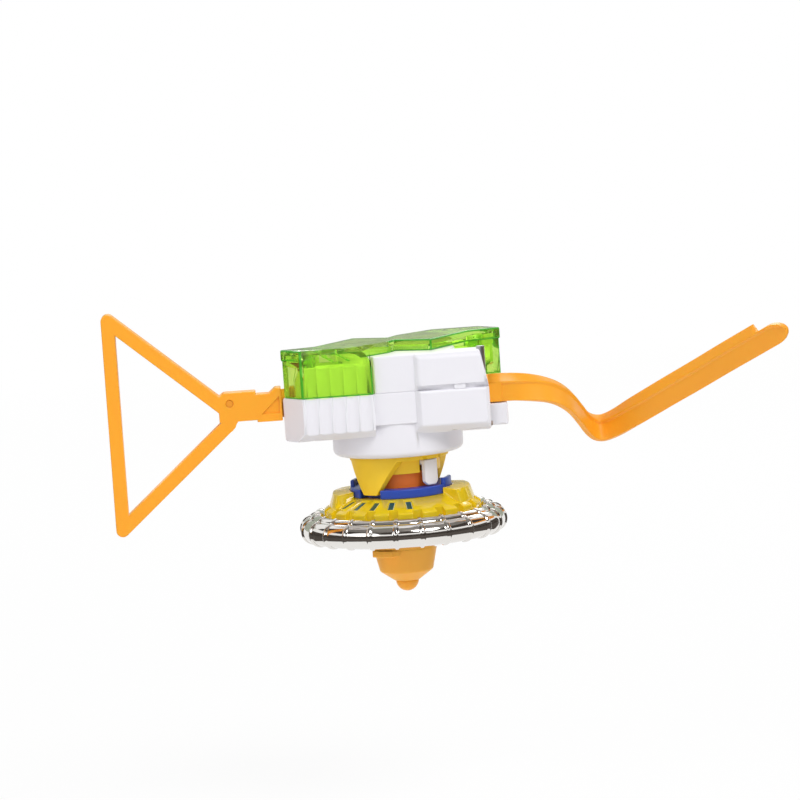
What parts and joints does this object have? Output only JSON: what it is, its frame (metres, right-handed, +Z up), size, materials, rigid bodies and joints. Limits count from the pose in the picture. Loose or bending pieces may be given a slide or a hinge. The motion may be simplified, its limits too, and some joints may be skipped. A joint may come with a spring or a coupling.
{
  "type": "spinning top launcher",
  "caption": "Hand-held spinning top launcher: a toothed ripcord with a finger ring drives a claw rotor that carries and releases a clipped-in top.",
  "frame": {"origin": "on the spin axis, in the plane of the cover's flat top", "axes": "+Z up along the spin axis, with the top hanging below; +X along the strip towards its free tail; -Y towards the viewer of the picture"},
  "size_m": [0.1616, 0.0525, 0.073],
  "materials": {
    "white_plastic": "satin moulded",
    "green_clear": "clear tinted",
    "orange_plastic": "satin moulded",
    "yellow_plastic": "satin moulded",
    "yellow_clear": "clear tinted",
    "blue_plastic": "satin moulded",
    "core_plastic": "satin moulded",
    "teal_inlay": "metallic foil",
    "chrome_plating": "bright plated",
    "gear_plastic": "natural acetal",
    "bush_brass": "sintered",
    "steel": "zinc plated"
  },
  "bodies": {
    "housing": {"lower_housing": "white_plastic", "upper_housing": "white_plastic", "top_cover": "green_clear", "housing_screws": "steel", "cover_screws": "steel", "upper_bush": "bush_brass", "lower_bush": "bush_brass"},
    "drive": {"drive_gear": "gear_plastic", "spindle": "steel", "claw_rotor": "yellow_plastic", "thrust_washer": "steel", "stop_washer": "steel", "rotor_screw": "steel"},
    "ejector": {"ejector": "white_plastic", "ejector_spring": "steel"},
    "top": {"core_cap": "core_plastic", "core_screw": "steel", "lock_ring": "blue_plastic", "top_disc": "yellow_clear", "disc_inlays": "teal_inlay", "chrome_ring": "chrome_plating", "tip_base": "orange_plastic", "spin_tip": "orange_plastic"},
    "ripcord": {"rack_strip": "orange_plastic", "strip_tail": "orange_plastic", "pull_ring": "orange_plastic", "ring_pin": "orange_plastic"}
  },
  "joints": [
    {"name": "ripcord_pull", "type": "slide", "parent": "housing", "child": "ripcord", "axis": [-1, 0, 0], "range_m": [0, 0.09], "deforming": ["strip_tail"]},
    {"name": "drive_spin", "type": "hinge", "parent": "housing", "child": "drive", "pos_m": [0, 0, -0.013], "axis": [0, 0, 1], "continuous": true},
    {"name": "ejector_lift", "type": "slide", "parent": "drive", "child": "ejector", "axis": [0, 0, 1], "range_m": [0, 0.0014], "stiffness_N_per_m": 400, "deforming": ["ejector_spring"]},
    {"name": "top_release", "type": "slide", "parent": "drive", "child": "top", "axis": [0, 0, -1], "range_m": [0, 0.02]}
  ],
  "couplings": [
    {"joint": "drive_spin", "follows": "ripcord_pull", "rad_per_m": -185.19}
  ]
}
